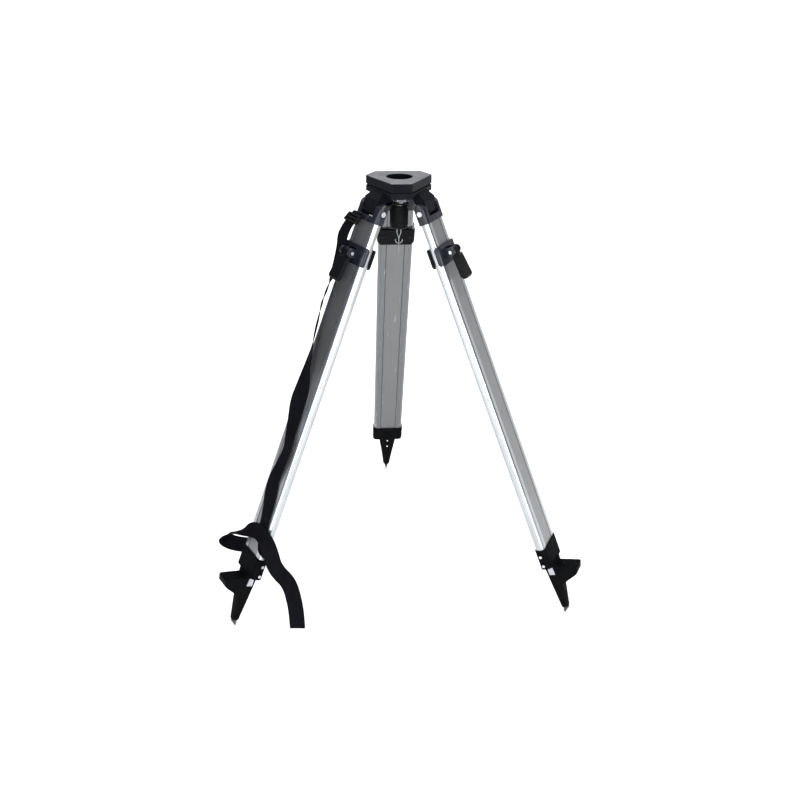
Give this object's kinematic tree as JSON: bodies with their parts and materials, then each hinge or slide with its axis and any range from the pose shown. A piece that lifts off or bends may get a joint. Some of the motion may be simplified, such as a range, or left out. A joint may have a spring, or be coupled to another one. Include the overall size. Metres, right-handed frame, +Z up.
{
  "type": "surveyor tripod",
  "caption": "Three-legged surveying tripod with a flat triangular head, captive fixing screw, telescoping box legs with lever clamps and pointed step feet.",
  "frame": {"origin": "centre of the hole in the head, on its flat top face", "axes": "+Z up, +Y towards the rear leg, +X to the right"},
  "size_m": [0.8376, 0.7524, 0.983],
  "materials": {
    "black_alloy": "black powder coat over die-cast aluminium",
    "bright_alloy": "satin anodised extrusion",
    "black_plastic": "moulded satin",
    "steel": "zinc plated",
    "brass": "turned",
    "webbing": "woven nylon"
  },
  "bodies": {
    "head": {"head_plate": "black_alloy", "hinge_casting": "black_alloy", "head_screws": "steel", "hinge_pins": "steel", "hinge_bushes": "black_plastic", "arm_pivot_screw": "steel"},
    "arm": {"swing_arm": "steel"},
    "slider": {"slot_bush": "black_plastic"},
    "lift": {"thrust_washer": "steel"},
    "screw": {"fixing_screw": "brass", "fixing_knob": "black_plastic"},
    "hook": {"plumb_hook": "steel"},
    "rear_upper": {"rear_shoulder": "black_plastic", "rear_shoulder_screws": "steel", "rear_upper_leg": "bright_alloy", "rear_guide_plug": "black_plastic"},
    "rear_lower": {"rear_lower_leg": "bright_alloy", "rear_clamp_front": "black_plastic", "rear_clamp_back": "black_plastic", "rear_lever_pin": "steel", "rear_foot_shoe": "black_alloy", "rear_foot_core": "black_plastic", "rear_foot_tip": "steel", "rear_leg_rivets": "bright_alloy"},
    "rear_lever": {"rear_clamp_lever": "black_plastic"},
    "rear_brake": {"rear_brake_shoe": "black_plastic"},
    "left_upper": {"left_shoulder": "black_plastic", "left_shoulder_screws": "steel", "left_upper_leg": "bright_alloy", "left_guide_plug": "black_plastic", "strap_anchor": "steel", "strap_slider": "black_plastic", "strap_upper": "webbing"},
    "left_lower": {"left_lower_leg": "bright_alloy", "left_clamp_front": "black_plastic", "left_clamp_back": "black_plastic", "left_lever_pin": "steel", "left_foot_shoe": "black_alloy", "left_foot_core": "black_plastic", "left_foot_tip": "steel", "left_leg_rivets": "bright_alloy", "strap_lower": "webbing"},
    "left_lever": {"left_clamp_lever": "black_plastic"},
    "left_brake": {"left_brake_shoe": "black_plastic"},
    "right_upper": {"right_shoulder": "black_plastic", "right_shoulder_screws": "steel", "right_upper_leg": "bright_alloy", "right_guide_plug": "black_plastic"},
    "right_lower": {"right_lower_leg": "bright_alloy", "right_clamp_front": "black_plastic", "right_clamp_back": "black_plastic", "right_lever_pin": "steel", "right_foot_shoe": "black_alloy", "right_foot_core": "black_plastic", "right_foot_tip": "steel", "right_leg_rivets": "bright_alloy"},
    "right_lever": {"right_clamp_lever": "black_plastic"},
    "right_brake": {"right_brake_shoe": "black_plastic"}
  },
  "joints": [
    {"name": "arm_swing", "type": "hinge", "parent": "head", "child": "arm", "pos_m": [0, -0.055, -0.035], "axis": [0, 0, 1], "range_deg": [-12, 12]},
    {"name": "bush_slide", "type": "slide", "parent": "arm", "child": "slider", "axis": [0, 1, 0], "range_m": [-0.012, 0.012]},
    {"name": "screw_lift", "type": "slide", "parent": "slider", "child": "lift", "axis": [0, 0, 1], "range_m": [0, 0.018]},
    {"name": "screw_turn", "type": "hinge", "parent": "lift", "child": "screw", "pos_m": [0, 0, -0.05], "axis": [0, 0, 1], "continuous": true},
    {"name": "hook_swing", "type": "hinge", "parent": "screw", "child": "hook", "pos_m": [0, 0, -0.111], "axis": [1, 0, 0], "range_deg": [-70, 70]},
    {"name": "rear_leg_swing", "type": "hinge", "parent": "head", "child": "rear_upper", "pos_m": [0, 0.066, -0.0625], "axis": [1, 0, 0], "range_deg": [-23.3, 12]},
    {"name": "rear_leg_slide", "type": "slide", "parent": "rear_upper", "child": "rear_lower", "axis": [0, 0.3955, -0.9184], "range_m": [0, 0.6]},
    {"name": "rear_lever_flip", "type": "hinge", "parent": "rear_lower", "child": "rear_lever", "pos_m": [0, 0.127, -0.13967], "axis": [1, 0, 0], "range_deg": [0, 120]},
    {"name": "rear_brake_slide", "type": "slide", "parent": "rear_lower", "child": "rear_brake", "axis": [0, 0.9184, 0.3955], "range_m": [0, 0.001]},
    {"name": "left_leg_swing", "type": "hinge", "parent": "head", "child": "left_upper", "pos_m": [-0.05716, -0.033, -0.0625], "axis": [-0.5, 0.866, 0], "range_deg": [-23.3, 12]},
    {"name": "left_leg_slide", "type": "slide", "parent": "left_upper", "child": "left_lower", "axis": [-0.3426, -0.1978, -0.9184], "range_m": [0, 0.6]},
    {"name": "left_lever_flip", "type": "hinge", "parent": "left_lower", "child": "left_lever", "pos_m": [-0.10998, -0.0635, -0.13967], "axis": [-0.5, 0.866, 0], "range_deg": [0, 120]},
    {"name": "left_brake_slide", "type": "slide", "parent": "left_lower", "child": "left_brake", "axis": [-0.7954, -0.4592, 0.3955], "range_m": [0, 0.001]},
    {"name": "right_leg_swing", "type": "hinge", "parent": "head", "child": "right_upper", "pos_m": [0.05716, -0.033, -0.0625], "axis": [-0.5, -0.866, 0], "range_deg": [-23.3, 12]},
    {"name": "right_leg_slide", "type": "slide", "parent": "right_upper", "child": "right_lower", "axis": [0.3426, -0.1978, -0.9184], "range_m": [0, 0.6]},
    {"name": "right_lever_flip", "type": "hinge", "parent": "right_lower", "child": "right_lever", "pos_m": [0.10998, -0.0635, -0.13967], "axis": [-0.5, -0.866, 0], "range_deg": [0, 120]},
    {"name": "right_brake_slide", "type": "slide", "parent": "right_lower", "child": "right_brake", "axis": [0.7954, -0.4592, 0.3955], "range_m": [0, 0.001]}
  ],
  "couplings": [
    {"joint": "rear_brake_slide", "follows": "rear_lever_flip", "m_per_rad": 0.00038},
    {"joint": "left_brake_slide", "follows": "left_lever_flip", "m_per_rad": 0.00038},
    {"joint": "right_brake_slide", "follows": "right_lever_flip", "m_per_rad": 0.00038}
  ]
}
